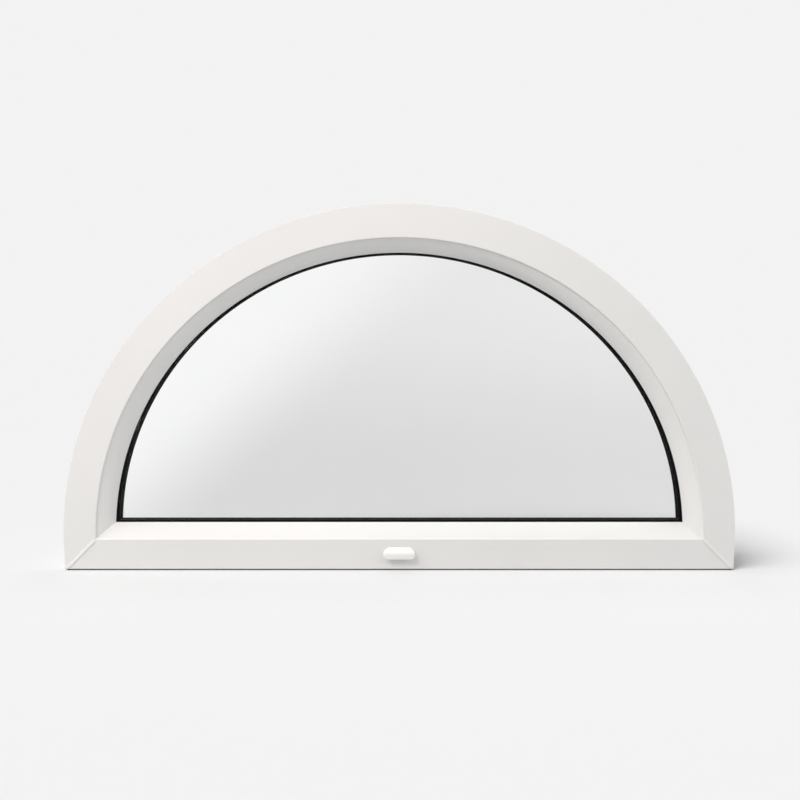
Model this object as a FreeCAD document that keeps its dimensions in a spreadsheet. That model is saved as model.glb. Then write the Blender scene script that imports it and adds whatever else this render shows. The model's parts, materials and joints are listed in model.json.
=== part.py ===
import FreeCAD, Part
import math
import os
import Sketcher

doc = FreeCAD.newDocument("arched_window")
sizes = doc.addObject("Spreadsheet::Sheet", "sizes")

# Driving dimensions in millimetres.
driving_sizes = (
    # Outline of the frame: a semicircle on short upright legs, closed by a straight sill.
    ("frame_width", 900),
    ("frame_depth", 70),
    ("leg_height", 32),
    ("corner_radius", 6),
    ("edge_radius", 1.2),
    ("room_edge", 1.5),
    # Frame section, measured inwards from the outer perimeter.
    ("face_width", 43.2),
    ("sight_width", 58.8),
    ("mitre_overrun", 6),
    # Moulded outer leg, measured back from the outer face.
    ("outer_leg_depth", 27.5),
    ("arris_radius", 2),
    ("quirk_depth", 2.8),
    ("ovolo_radius", 63),
    ("nose_chamfer", 1),
    # Clip grooves around the outer perimeter.
    ("clip_inset", 17.5),
    ("clip_width", 8),
    ("clip_depth", 4),
    # Relief under the front of the sill, back to the first clip groove.
    ("relief_height", 1.5),
    # Outer gasket and its groove in the moulded leg.
    ("gasket_thickness", 2.5),
    ("gasket_cover", 9.3),
    ("groove_inset", 5.8),
    ("groove_width", 3),
    ("groove_depth", 3),
    ("groove_clearance", 0.2),
    # Sealed glass unit.
    ("pane_thickness", 4),
    ("cavity_width", 12),
    ("spacer_height", 6.8),
    ("seal_width", 8),
    ("glass_clearance", 5),
    # Inner gasket and glazing bead, a step below the outer sightline.
    ("room_step", 2.8),
    ("inner_gasket_thickness", 3),
    ("inner_gasket_cover", 7.5),
    ("inner_lip", 0.6),
    ("inner_lip_chamfer", 1),
    ("bead_setback", 1),
    ("bead_drop", 0.4),
    ("bead_land", 2),
    ("bead_fall", 4.5),
    ("bead_edge", 1.5),
    ("foot_inset", 1.6),
    ("foot_thickness", 2.4),
    ("foot_depth", 4.2),
    ("foot_clearance", 0.2),
    # Setting blocks under the glass.
    ("block_length", 80),
    ("block_offset", 210),
    # Drain slot through the sill.
    ("slot_length", 30),
    ("slot_height", 4),
    ("slot_level", 20.4),
    ("slot_run", 33.5),
    ("well_width", 4.5),
    # Weep cover over the drain slot.
    ("cover_width", 42),
    ("cover_reach", 8.5),
    ("cover_bottom", 16.8),
    ("cover_front", 9.5),
    ("cover_rise", 5.5),
    ("cover_end_radius", 4.4),
    ("cover_wall", 1.3),
    ("cover_end_wall", 2.2),
    ("prong_offset", 12),
    ("prong_thickness", 1.6),
    ("prong_height", 3.6),
    ("prong_length", 9),
)
for row, (alias, size) in enumerate(driving_sizes, 1):
    sizes.set("A%d" % row, alias)
    sizes.set("B%d" % row, str(size))
    sizes.setAlias("B%d" % row, alias)
doc.recompute()

half_turn = 180
tolerance = 0.01
level_with_origin = {"x": "Vertical", "y": "Horizontal"}

# Shared positions across the width, written as sheet expressions.
radius = "sizes.frame_width / 2"
half_depth = "sizes.frame_depth / 2"
spacer_inset = "sizes.sight_width - sizes.spacer_height"
glass_inset = spacer_inset + " - sizes.seal_width"
rebate_floor = glass_inset + " - sizes.glass_clearance"

# Shared positions through the depth, from the outer face to the room face.
glass_front = "sizes.outer_leg_depth + sizes.gasket_thickness"
cavity_front = glass_front + " + sizes.pane_thickness"
cavity_back = cavity_front + " + sizes.cavity_width"
glass_back = cavity_back + " + sizes.pane_thickness"
bead_front = glass_back + " + sizes.inner_gasket_thickness"
bead_back = "sizes.frame_depth - sizes.bead_setback"
foot_back = bead_back + " - sizes.foot_inset"
foot_front = foot_back + " - sizes.foot_thickness"

# The mitre runs from the outer corner through the corner of the sightlines.
sight_corner = "sqrt((%s - sizes.sight_width)^2 - (sizes.sight_width - sizes.leg_height)^2)" % radius
mitre_top = "(sizes.sight_width + sizes.mitre_overrun)"
mitre_top_x = "%s - (%s - %s) * %s / sizes.sight_width" % (radius, radius, sight_corner, mitre_top)


def number(expression):
    return float(sizes.evalExpression(expression))


def place_axis(sketch, axis, edge, end, expression):
    if expression == "0":
        sketch.addConstraint(Sketcher.Constraint(level_with_origin[axis], -1, 1, edge, end))
        return
    kind = "Distance" + axis.upper()
    value = number(expression)
    if value > 0:
        index = sketch.addConstraint(Sketcher.Constraint(kind, -1, 1, edge, end, value))
        sketch.setExpression("Constraints[%d]" % index, expression)
    else:
        index = sketch.addConstraint(Sketcher.Constraint(kind, edge, end, -1, 1, -value))
        sketch.setExpression("Constraints[%d]" % index, "-(%s)" % expression)


def arc_between(start, end, arc_radius, turn):
    chord = end - start
    middle = (start + end) * 0.5
    rise = math.sqrt(arc_radius ** 2 - (chord.Length / 2) ** 2)
    side = FreeCAD.Vector(-chord.y, chord.x, 0).normalize()
    centre = middle + side * (rise * turn)
    circle = Part.Circle(centre, FreeCAD.Vector(0, 0, 1), arc_radius)
    first, last = (start, end) if turn > 0 else (end, start)
    first_angle = math.atan2(first.y - centre.y, first.x - centre.x)
    last_angle = math.atan2(last.y - centre.y, last.x - centre.x)
    return Part.ArcOfCircle(circle, first_angle, last_angle)


# A closed outline. Each corner is (x, y), reached by a straight line, or (x, y, radius, turn),
# reached by an arc that turns left (1) or right (-1).
def draw_outline(sketch, corners):
    points = [FreeCAD.Vector(number(corner[0]), number(corner[1]), 0) for corner in corners]
    edges = []
    for index, corner in enumerate(corners):
        start = points[index - 1]
        end = points[index]
        if len(corner) == 2:
            edge = sketch.addGeometry(Part.LineSegment(start, end), False)
            edges.append((edge, 1, 2))
            continue
        arc_radius, turn = corner[2:]
        edge = sketch.addGeometry(arc_between(start, end, number(arc_radius), turn), False)
        edges.append((edge, 1, 2) if turn > 0 else (edge, 2, 1))
        limit = sketch.addConstraint(Sketcher.Constraint("Radius", edge, number(arc_radius)))
        sketch.setExpression("Constraints[%d]" % limit, arc_radius)
    for index, (edge, first, last) in enumerate(edges):
        following, following_first, following_last = edges[(index + 1) % len(edges)]
        sketch.addConstraint(Sketcher.Constraint("Coincident", edge, last, following, following_first))
        place_axis(sketch, "x", edge, last, corners[index][0])
        place_axis(sketch, "y", edge, last, corners[index][1])


# The outline of the glass opening, set in from the outer perimeter: a chord under an arc.
def draw_arch_outline(sketch, inset):
    arc_radius = "%s - (%s)" % (radius, inset)
    level = number(inset)
    rise = level - number("sizes.leg_height")
    reach = math.sqrt(number(arc_radius) ** 2 - rise ** 2)
    centre = FreeCAD.Vector(0, number("sizes.leg_height"), 0)
    circle = Part.Circle(centre, FreeCAD.Vector(0, 0, 1), number(arc_radius))
    first_angle = math.atan2(rise, reach)
    arc = sketch.addGeometry(Part.ArcOfCircle(circle, first_angle, math.pi - first_angle), False)
    left = FreeCAD.Vector(-reach, level, 0)
    right = FreeCAD.Vector(reach, level, 0)
    chord = sketch.addGeometry(Part.LineSegment(left, right), False)
    sketch.addConstraint(Sketcher.Constraint("Coincident", arc, 2, chord, 1))
    sketch.addConstraint(Sketcher.Constraint("Coincident", chord, 2, arc, 1))
    place_axis(sketch, "x", arc, 3, "0")
    place_axis(sketch, "y", arc, 3, "sizes.leg_height")
    place_axis(sketch, "y", arc, 1, inset)
    place_axis(sketch, "y", arc, 2, inset)
    limit = sketch.addConstraint(Sketcher.Constraint("Radius", arc, number(arc_radius)))
    sketch.setExpression("Constraints[%d]" % limit, arc_radius)


def rectangle(left, right, low, high):
    return [(left, low), (right, low), (right, high), (left, high)]


def plane_sketch(body, name, plane, offsets):
    sketch = body.newObject("Sketcher::SketchObject", name)
    support = [item for item in body.Origin.OriginFeatures if item.Role == plane][0]
    sketch.AttachmentSupport = [(support, "")]
    sketch.MapMode = "FlatFace"
    for axis, expression in offsets.items():
        sketch.setExpression("AttachmentOffset.Base." + axis, expression)
    doc.recompute()
    return sketch


def pad(body, name, sketch, length, side="One side", reverse=False):
    feature = body.newObject("PartDesign::Pad", name)
    feature.Profile = sketch
    feature.SideType = side
    feature.Reversed = reverse
    feature.setExpression("Length", length)
    doc.recompute()
    return feature


def pocket(body, name, sketch, length=None):
    feature = body.newObject("PartDesign::Pocket", name)
    feature.Profile = sketch
    if length:
        feature.setExpression("Length", length)
    else:
        feature.Type = "ThroughAll"
        feature.SideType = "Symmetric"
    doc.recompute()
    return feature


def fillet(body, name, base, edge_names, fillet_radius):
    feature = body.newObject("PartDesign::Fillet", name)
    feature.Base = (base, edge_names)
    feature.setExpression("Radius", fillet_radius)
    doc.recompute()
    return feature


def edges_where(shape, test):
    names = []
    for index, edge in enumerate(shape.Edges, 1):
        first, last = edge.ParameterRange
        spots = [edge.valueAt(first), edge.valueAt((first + last) / 2), edge.valueAt(last)]
        if all(test(spot) for spot in spots):
            names.append("Edge%d" % index)
    return names


def near(value, target):
    return abs(value - target) < tolerance


# True for a point on the outer perimeter as it is seen from the front.
def on_perimeter(point):
    across = abs(point.x)
    limit = number(radius)
    leg = number("sizes.leg_height")
    corner = number("sizes.corner_radius")
    if point.z >= leg:
        return near(math.hypot(across, point.z - leg), limit)
    if across > limit - corner and point.z < corner:
        return near(math.hypot(across - limit + corner, point.z - corner), corner)
    return near(across, limit) or near(point.z, 0)


def on_front_edge(point):
    return near(point.y, -number(half_depth)) and on_perimeter(point)


def on_room_edge(point):
    return near(point.y, number(half_depth)) and on_perimeter(point)


# A section is listed as (inset from the perimeter, depth from the outer face). It is drawn across
# the right-hand leg for the arch and upright for the sill, and both are mirror images of the list.
def arch_corner(corner):
    turned = ("%s - (%s)" % (radius, corner[0]), corner[1])
    return turned if len(corner) == 2 else turned + (corner[2], -corner[3])


def sill_corner(corner):
    turned = (corner[1], corner[0])
    return turned if len(corner) == 2 else turned + (corner[2], -corner[3])


def arch_body(label, section, with_legs=False):
    body = doc.addObject("PartDesign::Body", label)
    offsets = {"y": "-(%s)" % half_depth, "z": "sizes.leg_height"}
    sketch = plane_sketch(body, label + "_section", "XY_Plane", offsets)
    draw_outline(sketch, [arch_corner(corner) for corner in section])
    sweep = body.newObject("PartDesign::Revolution", label + "_sweep")
    sweep.Profile = sketch
    sweep.ReferenceAxis = (sketch, ["V_Axis"])
    sweep.Angle = half_turn
    sweep.Reversed = True
    doc.recompute()
    if with_legs:
        leg = pad(body, label + "_leg", sketch, "sizes.leg_height", reverse=True)
        pair = body.newObject("PartDesign::Mirrored", label + "_legs")
        pair.Originals = [leg]
        pair.MirrorPlane = ([item for item in body.Origin.OriginFeatures if item.Role == "YZ_Plane"][0], [""])
        body.Tip = pair
        doc.recompute()
    mitre = plane_sketch(body, label + "_mitre", "XZ_Plane", {})
    draw_outline(mitre, [
        ("-(%s)" % radius, "0"),
        (radius, "0"),
        (mitre_top_x, mitre_top),
        ("-(%s)" % mitre_top_x, mitre_top),
    ])
    pocket(body, label + "_mitre_cut", mitre)
    return body


def sill_body(label, section):
    body = doc.addObject("PartDesign::Body", label)
    sketch = plane_sketch(body, label + "_section", "YZ_Plane", {"x": "-(%s)" % half_depth})
    draw_outline(sketch, [sill_corner(corner) for corner in section])
    pad(body, label + "_run", sketch, "sizes.frame_width", side="Symmetric")
    mitre = plane_sketch(body, label + "_mitre", "XZ_Plane", {})
    beyond = radius + " + sizes.mitre_overrun"
    for side in ("", "-"):
        draw_outline(mitre, [
            ("%s(%s)" % (side, radius), "0"),
            ("%s(%s)" % (side, beyond), "0"),
            ("%s(%s)" % (side, beyond), mitre_top),
            ("%s(%s)" % (side, mitre_top_x), mitre_top),
        ])
    pocket(body, label + "_mitre_cut", mitre)
    return body


# The two lower corners are cleaned off round after welding, and the outer edges follow them.
def finish_corners(body):
    sketch = plane_sketch(body, body.Label + "_corners", "XZ_Plane", {})
    inner = radius + " - sizes.corner_radius"
    for side, turn in (("", -1), ("-", 1)):
        draw_outline(sketch, [
            ("%s(%s)" % (side, inner), "0", "sizes.corner_radius", turn),
            ("%s(%s)" % (side, radius), "0"),
            ("%s(%s)" % (side, radius), "sizes.corner_radius"),
        ])
    rounded = pocket(body, body.Label + "_corner_cut", sketch)
    front_names = edges_where(rounded.Shape, on_front_edge)
    front = fillet(body, body.Label + "_front_edge", rounded, front_names, "sizes.edge_radius")
    room = body.newObject("PartDesign::Chamfer", body.Label + "_room_edge")
    room.Base = (front, edges_where(front.Shape, on_room_edge))
    room.setExpression("Size", "sizes.room_edge")
    doc.recompute()


# Frame section: flat face, arris, quirk and ovolo, then the gasket groove, the glazing rebate with
# its bead groove, the room face and the clip grooves in the outer perimeter.
groove_near = "sizes.sight_width - sizes.groove_inset"
groove_far = groove_near + " - sizes.groove_width"
groove_floor = "sizes.outer_leg_depth - sizes.groove_depth"
bead_groove_front = foot_front + " - sizes.foot_clearance"
bead_groove_back = foot_back + " + sizes.foot_clearance"
foot_floor = rebate_floor + " - sizes.foot_depth"
bead_groove_floor = foot_floor + " - sizes.foot_clearance"
clip_near = "sizes.clip_inset - sizes.clip_width / 2"
clip_far = "sizes.clip_inset + sizes.clip_width / 2"

frame_section = [
    ("0", "0"),
    ("sizes.face_width - sizes.arris_radius", "0"),
    ("sizes.face_width", "sizes.arris_radius", "sizes.arris_radius", 1),
    ("sizes.face_width", "sizes.quirk_depth"),
    ("sizes.sight_width", "sizes.outer_leg_depth - sizes.nose_chamfer", "sizes.ovolo_radius", 1),
    ("sizes.sight_width - sizes.nose_chamfer", "sizes.outer_leg_depth"),
    (groove_near, "sizes.outer_leg_depth"),
    (groove_near, groove_floor),
    (groove_far, groove_floor),
    (groove_far, "sizes.outer_leg_depth"),
    (rebate_floor, "sizes.outer_leg_depth"),
    (rebate_floor, bead_groove_front),
    (bead_groove_floor, bead_groove_front),
    (bead_groove_floor, bead_groove_back),
    (rebate_floor, bead_groove_back),
    (rebate_floor, "sizes.frame_depth - sizes.room_edge"),
    (rebate_floor + " - sizes.room_edge", "sizes.frame_depth"),
    ("0", "sizes.frame_depth"),
    ("0", "sizes.frame_depth - (%s)" % clip_near),
    ("sizes.clip_depth", "sizes.frame_depth - (%s)" % clip_near),
    ("sizes.clip_depth", "sizes.frame_depth - (%s)" % clip_far),
    ("0", "sizes.frame_depth - (%s)" % clip_far),
    ("0", clip_far),
    ("sizes.clip_depth", clip_far),
    ("sizes.clip_depth", clip_near),
    ("0", clip_near),
]

# Outer gasket: a flat strip up to the sightline with a foot in its groove.
gasket_low = "sizes.sight_width - sizes.gasket_cover"
gasket_section = [
    (gasket_low, "sizes.outer_leg_depth"),
    (groove_far + " + sizes.groove_clearance", "sizes.outer_leg_depth"),
    (groove_far + " + sizes.groove_clearance", groove_floor + " + sizes.groove_clearance"),
    (groove_near + " - sizes.groove_clearance", groove_floor + " + sizes.groove_clearance"),
    (groove_near + " - sizes.groove_clearance", "sizes.outer_leg_depth"),
    ("sizes.sight_width", "sizes.outer_leg_depth"),
    ("sizes.sight_width", glass_front),
    (gasket_low, glass_front),
]

# Spacer bar between the panes, with its upper side on the sightline.
spacer_section = rectangle(spacer_inset, "sizes.sight_width", cavity_front, cavity_back)

# Inner gasket, with a lip that stands a little past the bead.
room_sight = "sizes.sight_width - sizes.room_step"
inner_low = room_sight + " - sizes.inner_gasket_cover"
inner_high = room_sight + " + sizes.inner_lip"
inner_gasket_section = [
    (inner_low, glass_back),
    (inner_high, glass_back),
    (inner_high, bead_front + " - sizes.inner_lip_chamfer"),
    (inner_high + " - sizes.inner_lip_chamfer", bead_front),
    (inner_low, bead_front),
]

# Glazing bead: a bevelled strip that stands on the rebate with a foot in the bead groove.
bead_top = room_sight + " - sizes.bead_drop"
bead_section = [
    (rebate_floor, bead_front),
    (bead_top, bead_front),
    (bead_top, bead_front + " + sizes.bead_land"),
    (bead_top + " - sizes.bead_fall", bead_back + " - sizes.bead_edge"),
    (bead_top + " - sizes.bead_fall - sizes.bead_edge", bead_back),
    (rebate_floor, bead_back),
    (rebate_floor, foot_back),
    (foot_floor, foot_back),
    (foot_floor, foot_front),
    (rebate_floor, foot_front),
]

arch_frame = arch_body("arch_frame", frame_section, with_legs=True)
finish_corners(arch_frame)

sill_frame = sill_body("sill_frame", frame_section)
finish_corners(sill_frame)
relief_sketch = plane_sketch(sill_frame, "sill_relief", "XZ_Plane", {"z": half_depth})
draw_outline(relief_sketch, rectangle("-(%s)" % radius, radius, "0", "sizes.relief_height"))
pocket(sill_frame, "sill_relief_cut", relief_sketch, clip_near)
slot_sketch = plane_sketch(sill_frame, "drain_slot", "XZ_Plane", {"z": half_depth})
slot_half = "sizes.slot_length / 2"
slot_top = "sizes.slot_level + sizes.slot_height"
draw_outline(slot_sketch, rectangle("-(%s)" % slot_half, slot_half, "sizes.slot_level", slot_top))
pocket(sill_frame, "drain_slot_cut", slot_sketch, "sizes.slot_run")
well_offsets = {"y": "-(%s)" % half_depth, "z": rebate_floor}
well_sketch = plane_sketch(sill_frame, "drain_well", "XY_Plane", well_offsets)
well_front = "sizes.slot_run - sizes.well_width"
draw_outline(well_sketch, rectangle("-(%s)" % slot_half, slot_half, well_front, "sizes.slot_run"))
pocket(sill_frame, "drain_well_cut", well_sketch, rebate_floor + " - sizes.slot_level")

swept_bodies = [arch_frame, sill_frame]
for name, section in (
    ("gasket_outer", gasket_section),
    ("spacer", spacer_section),
    ("gasket_inner", inner_gasket_section),
    ("glazing_bead", bead_section),
):
    swept_bodies.append(arch_body("arch_" + name, section))
    swept_bodies.append(sill_body("sill_" + name, section))


# Flat pieces of the glass unit: each runs back from its own depth behind the outer face.
def glass_body(label, depth, thickness, insets):
    body = doc.addObject("PartDesign::Body", label)
    sketch = plane_sketch(body, label + "_outline", "XZ_Plane", {"z": "%s - (%s)" % (half_depth, depth)})
    for inset in insets:
        draw_arch_outline(sketch, inset)
    pad(body, label + "_plate", sketch, thickness, reverse=True)
    return body


outer_pane = glass_body("outer_pane", glass_front, "sizes.pane_thickness", [glass_inset])
inner_pane = glass_body("inner_pane", cavity_back, "sizes.pane_thickness", [glass_inset])
edge_seal = glass_body("edge_seal", cavity_front, "sizes.cavity_width", [glass_inset, spacer_inset])

# Setting blocks carry the glass unit on the rebate.
blocks = []
for label, side in (("setting_block_left", "-"), ("setting_block_right", "")):
    block = doc.addObject("Part::Box", label)
    block.setExpression("Length", "sizes.block_length")
    block.setExpression("Width", "2 * sizes.pane_thickness + sizes.cavity_width")
    block.setExpression("Height", "sizes.glass_clearance")
    block.setExpression("Placement.Base.x", "%ssizes.block_offset - sizes.block_length / 2" % side)
    block.setExpression("Placement.Base.y", "%s - %s" % (glass_front, half_depth))
    block.setExpression("Placement.Base.z", rebate_floor)
    blocks.append(block)
doc.recompute()

# Weep cover: a small hood, open below and behind, with two prongs in the drain slot.
weep_cover = doc.addObject("PartDesign::Body", "weep_cover")
cover_sketch = plane_sketch(weep_cover, "cover_side", "YZ_Plane", {"x": "-(%s)" % half_depth})
cover_ridge = "sizes.cover_bottom + sizes.cover_front"
cover_top = cover_ridge + " + sizes.cover_rise"
draw_outline(cover_sketch, [
    ("0", "sizes.cover_bottom"),
    ("0", cover_top),
    ("-(sizes.cover_reach)", cover_ridge),
    ("-(sizes.cover_reach)", "sizes.cover_bottom"),
])
cover_block = pad(weep_cover, "cover_block", cover_sketch, "sizes.cover_width", side="Symmetric")


def on_cover_end(point):
    return near(abs(point.x), number("sizes.cover_width / 2"))


def on_outer_face(point):
    return near(point.y, -number(half_depth))


back_edges = edges_where(cover_block.Shape, on_outer_face)
end_edges = [edge for edge in edges_where(cover_block.Shape, on_cover_end) if edge not in back_edges]
cover_round = fillet(weep_cover, "cover_round", cover_block, end_edges, "sizes.cover_end_radius")


# The hollow of the hood follows the same side outline, a wall thickness inside it.
hollow_sketch = plane_sketch(weep_cover, "cover_hollow", "YZ_Plane", {"x": "-(%s)" % half_depth})
hollow_reach = "(sizes.cover_reach - sizes.cover_wall)"
slope_run = "sqrt(sizes.cover_reach^2 + sizes.cover_rise^2) / sizes.cover_reach"
hollow_top = cover_top + " - sizes.cover_wall * " + slope_run
hollow_ridge = "%s - %s * sizes.cover_rise / sizes.cover_reach" % (hollow_top, hollow_reach)
draw_outline(hollow_sketch, [
    ("0", "sizes.cover_bottom"),
    ("0", hollow_top),
    ("-" + hollow_reach, hollow_ridge),
    ("-" + hollow_reach, "sizes.cover_bottom"),
])
hollow = pocket(weep_cover, "cover_hollow_cut", hollow_sketch, "sizes.cover_width - 2 * sizes.cover_end_wall")
hollow.SideType = "Symmetric"
doc.recompute()
prong_start = "%s + sizes.cover_reach - sizes.cover_wall / 2" % half_depth
prong_sketch = plane_sketch(weep_cover, "prongs", "XZ_Plane", {"z": prong_start})
prong_low = "sizes.slot_level + (sizes.slot_height - sizes.prong_height) / 2"
prong_high = prong_low + " + sizes.prong_height"
for side in ("-", ""):
    middle = "%ssizes.prong_offset" % side
    draw_outline(prong_sketch, rectangle(
        middle + " - sizes.prong_thickness / 2", middle + " + sizes.prong_thickness / 2", prong_low, prong_high))
prong_run = "sizes.cover_reach - sizes.cover_wall / 2 + sizes.prong_length"
pad(weep_cover, "prong_pair", prong_sketch, prong_run, reverse=True)

parts = swept_bodies + [outer_pane, inner_pane, edge_seal] + blocks + [weep_cover]
doc.recompute()
for item in doc.Objects:
    if "Invalid" in item.State or "Error" in item.State:
        raise RuntimeError("%s is %s" % (item.Name, item.State))
os.makedirs("parts", exist_ok=True)
for part in parts:
    shape = part.Shape
    if shape.isNull() or not shape.isValid() or len(shape.Solids) != 1:
        raise RuntimeError("%s has no single sound solid" % part.Label)
    shape.exportStep("parts/%s.step" % part.Label)
    print(part.Label, round(shape.Volume))
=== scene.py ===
import bmesh
import bpy
import itertools
import json
import math
from mathutils import Matrix, Vector

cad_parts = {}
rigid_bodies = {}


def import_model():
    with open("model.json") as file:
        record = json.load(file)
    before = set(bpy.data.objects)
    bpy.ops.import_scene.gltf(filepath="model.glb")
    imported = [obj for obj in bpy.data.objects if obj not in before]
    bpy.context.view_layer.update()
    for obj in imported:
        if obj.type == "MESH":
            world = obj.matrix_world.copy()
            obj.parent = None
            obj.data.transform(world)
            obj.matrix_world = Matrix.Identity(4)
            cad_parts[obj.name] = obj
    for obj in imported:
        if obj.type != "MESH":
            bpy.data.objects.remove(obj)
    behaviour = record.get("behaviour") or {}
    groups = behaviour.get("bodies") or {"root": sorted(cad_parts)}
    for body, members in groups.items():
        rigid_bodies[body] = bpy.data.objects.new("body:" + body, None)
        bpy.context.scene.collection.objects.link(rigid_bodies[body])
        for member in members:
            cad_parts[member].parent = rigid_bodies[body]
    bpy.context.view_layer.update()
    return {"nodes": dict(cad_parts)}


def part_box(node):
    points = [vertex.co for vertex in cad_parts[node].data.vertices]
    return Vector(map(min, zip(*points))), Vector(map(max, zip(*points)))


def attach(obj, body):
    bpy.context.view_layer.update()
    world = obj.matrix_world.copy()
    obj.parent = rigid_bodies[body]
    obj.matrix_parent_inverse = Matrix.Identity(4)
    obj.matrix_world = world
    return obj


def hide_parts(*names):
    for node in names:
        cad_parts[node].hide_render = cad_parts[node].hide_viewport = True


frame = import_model()
nodes = frame["nodes"]
mm = 0.001
print("frame loaded,", len(nodes), "nodes")

# main lines of the window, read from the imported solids
archLow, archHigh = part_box("arch_frame")
archRadius = archHigh.x
legHeight = archHigh.z - archRadius
faceY = archLow.y  # outer face
roomY = archHigh.y  # room face
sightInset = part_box("sill_gasket_outer")[1].z  # edge of the visible glass
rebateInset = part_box("setting_block_left")[0].z
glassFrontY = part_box("outer_pane")[0].y
spacerLow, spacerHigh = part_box("sill_spacer")
cornerRound = 3.5 * mm  # lower corners, cleaned off round after welding


# one end of a wire in a node tree: sums on it add Math nodes, and node() adds any other kind
class Wire:
    def __init__(self, tree, socket=None):
        self.tree = tree
        self.socket = socket

    def feed(self, slot, value):
        if isinstance(value, Wire):
            self.tree.links.new(value.socket, slot)
        else:
            slot.default_value = value

    def node(self, kind, settings=None, sockets=None, out=0):
        made = self.tree.nodes.new(kind)
        for name, value in (settings or {}).items():
            setattr(made, name, value)
        for name, value in (sockets or {}).items():
            self.feed(made.inputs[name], value)
        return Wire(self.tree, made.outputs[out] if made.outputs else None)

    def out(self, name):
        return Wire(self.tree, self.socket.node.outputs[name])

    def math(self, operation, *values):
        return self.node("ShaderNodeMath", {"operation": operation}, dict(enumerate(values)))

    def __add__(self, other):
        return self.math("ADD", self, other)

    def __radd__(self, other):
        return self.math("ADD", other, self)

    def __sub__(self, other):
        return self.math("SUBTRACT", self, other)

    def __rsub__(self, other):
        return self.math("SUBTRACT", other, self)

    def __mul__(self, other):
        return self.math("MULTIPLY", self, other)

    def __rmul__(self, other):
        return self.math("MULTIPLY", other, self)

    def __truediv__(self, other):
        return self.math("DIVIDE", self, other)

    def __pow__(self, other):
        return self.math("POWER", self, other)

    def __lt__(self, other):
        return self.math("LESS_THAN", self, other)

    def __gt__(self, other):
        return self.math("GREATER_THAN", self, other)

    def __abs__(self):
        return self.math("ABSOLUTE", self)

    def clipped(self, low, high):
        return self.math("MINIMUM", self.math("MAXIMUM", self, low), high)

    def blend(self, share, first, second):
        return self.node("ShaderNodeMix", {"data_type": "RGBA"}, {0: share, 6: first, 7: second}, out=2)


# shader helpers

def startMaterial(name):
    material = bpy.data.materials.new(name)
    material.use_nodes = True
    material.node_tree.nodes.clear()
    return material, Wire(material.node_tree)


def endMaterial(graph, shader):
    graph.node("ShaderNodeOutputMaterial", {}, {"Surface": shader})


def noise(graph, place, scale, detail=2.0, stretch=(1, 1, 1)):
    spread = graph.node("ShaderNodeMapping", {}, {"Vector": place, "Scale": stretch})
    return graph.node("ShaderNodeTexNoise", {}, {"Vector": spread, "Scale": scale, "Detail": detail})


def bump(graph, height, depth, under=None):
    sockets = {"Height": height, "Distance": depth, "Strength": 1.0}
    if under:
        sockets["Normal"] = under
    return graph.node("ShaderNodeBump", {}, sockets)


# white extruded vinyl: die lines run along the section, over a faint orange peel; painted shade darkens it in a band
# at the foot
frameVinyl = {
    "light": (0.794, 0.787, 0.772, 1),
    "shade": (0.759, 0.752, 0.738, 1),
    "cloudScale": 9,
    "roughness": 0.34,
    "roughnessSpread": 0.12,
    "rubScale": 55,
    "index": 1.52,
    "peelScale": 420,
    "peelDepth": 0.012 * mm,
    "dieStretch": (1500, 1500, 2.5),
    "dieDepth": 0.006 * mm,
    # painted shade: a dark band on the vinyl up to 2 mm above the floor, which deepens the shadow line under the
    # sill
    "dustAndFootShade": (0.22, 0.215, 0.205, 1),  # under the foot
    "footShadeHeight": 2 * mm,
}


def makeVinyl(name, looks):
    material, graph = startMaterial(name)
    place = graph.node("ShaderNodeTexCoord", out="Object")
    grain = graph.node("ShaderNodeAttribute", {"attribute_name": "grain"}, out="Vector")
    peel = noise(graph, place, looks["peelScale"], 3.0)
    dieLines = noise(graph, grain, 1.0, 2.0, looks["dieStretch"])
    cloud = noise(graph, place, looks["cloudScale"], 4.0)
    rub = noise(graph, place, looks["rubScale"], 5.0)
    tone = (cloud * 1.4 + dieLines * 0.5 - 0.45).clipped(0, 1)
    colour = graph.blend(tone, looks["light"], looks["shade"])
    # painted shade: below the foot height the vinyl turns dark, standing in for the shade under the sill
    level = graph.node("ShaderNodeSeparateXYZ", {}, {"Vector": place}, out="Z")
    colour = graph.blend(level < looks["footShadeHeight"], colour, looks["dustAndFootShade"])
    roughness = looks["roughness"] + looks["roughnessSpread"] * (rub * 0.7 + dieLines * 0.3 - 0.5)
    lines = bump(graph, dieLines, looks["dieDepth"])
    surface = bump(graph, peel, looks["peelDepth"], lines)
    shader = graph.node("ShaderNodeBsdfPrincipled", {}, {
        "Base Color": colour, "Roughness": roughness, "Normal": surface, "IOR": looks["index"]})
    endMaterial(graph, shader)
    return material


# injection-moulded white plastic of the weep cover, with a fine spark-eroded grain
coverPlastic = {
    "light": (0.84, 0.835, 0.82, 1),
    "shade": (0.80, 0.79, 0.77, 1),
    "cloudScale": 60,
    "roughness": 0.40,
    "roughnessSpread": 0.10,
    "index": 1.5,
    "grainScale": 2600,
    "grainDepth": 0.015 * mm,
}


def makeCoverPlastic(name, looks):
    material, graph = startMaterial(name)
    place = graph.node("ShaderNodeTexCoord", out="Object")
    grain = noise(graph, place, looks["grainScale"], 2.0)
    cloud = noise(graph, place, looks["cloudScale"], 4.0)
    colour = graph.blend(cloud, looks["light"], looks["shade"])
    roughness = looks["roughness"] + looks["roughnessSpread"] * (grain - 0.5)
    shader = graph.node("ShaderNodeBsdfPrincipled", {}, {
        "Base Color": colour, "Roughness": roughness, "IOR": looks["index"],
        "Normal": bump(graph, grain, looks["grainDepth"])})
    endMaterial(graph, shader)
    return material


# black glazing rubber with a dusty bloom and extrusion lines
gasketRubber = {
    "dark": (0.006, 0.006, 0.006, 1),
    "bloom": (0.018, 0.018, 0.017, 1),
    "dustScale": 70,
    "poreScale": 1900,
    "roughness": 0.52,
    "shine": 0.006,
    "lineStretch": (2600, 2600, 5),
    "lineDepth": 0.03 * mm,
}


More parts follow.
